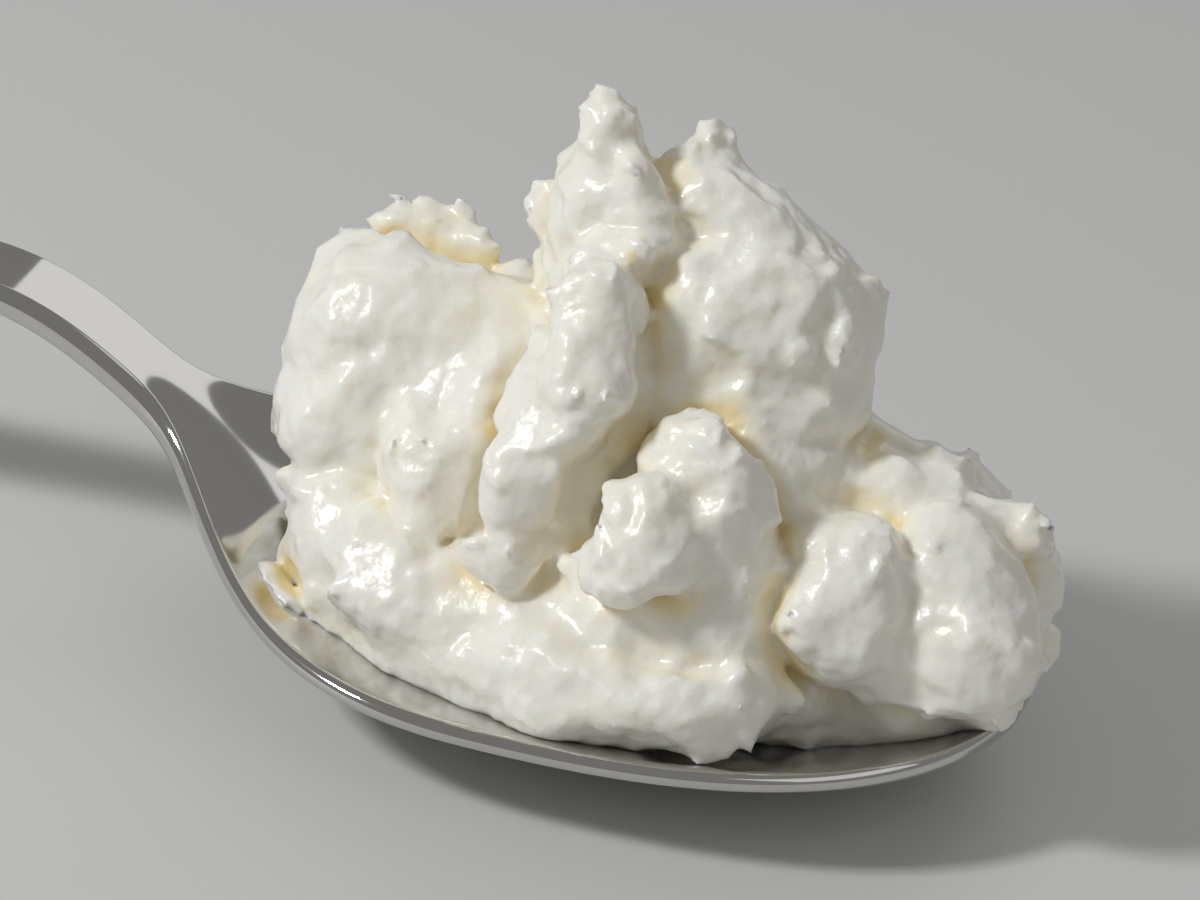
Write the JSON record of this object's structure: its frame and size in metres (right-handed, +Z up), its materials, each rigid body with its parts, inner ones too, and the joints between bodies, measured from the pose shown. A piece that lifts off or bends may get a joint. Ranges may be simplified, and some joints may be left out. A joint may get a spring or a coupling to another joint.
{
  "type": "tablespoon with a heaped spoonful of quark",
  "caption": "Polished steel tablespoon resting level, its bowl heaped high with torn, lumpy white quark that rises to a spire.",
  "frame": {"origin": "middle of the flat spot under the bowl, where it rests on the table", "axes": "+X along the spoon towards the tip of the bowl, +Z up"},
  "size_m": [0.1989, 0.0482, 0.0447],
  "materials": {
    "polished_steel": "mirror polished stainless steel",
    "quark": "moist, ivory white fresh cheese with a wet sheen"
  },
  "bodies": {
    "root": {"spoon": "polished_steel", "quark": "quark"}
  },
  "joints": []
}
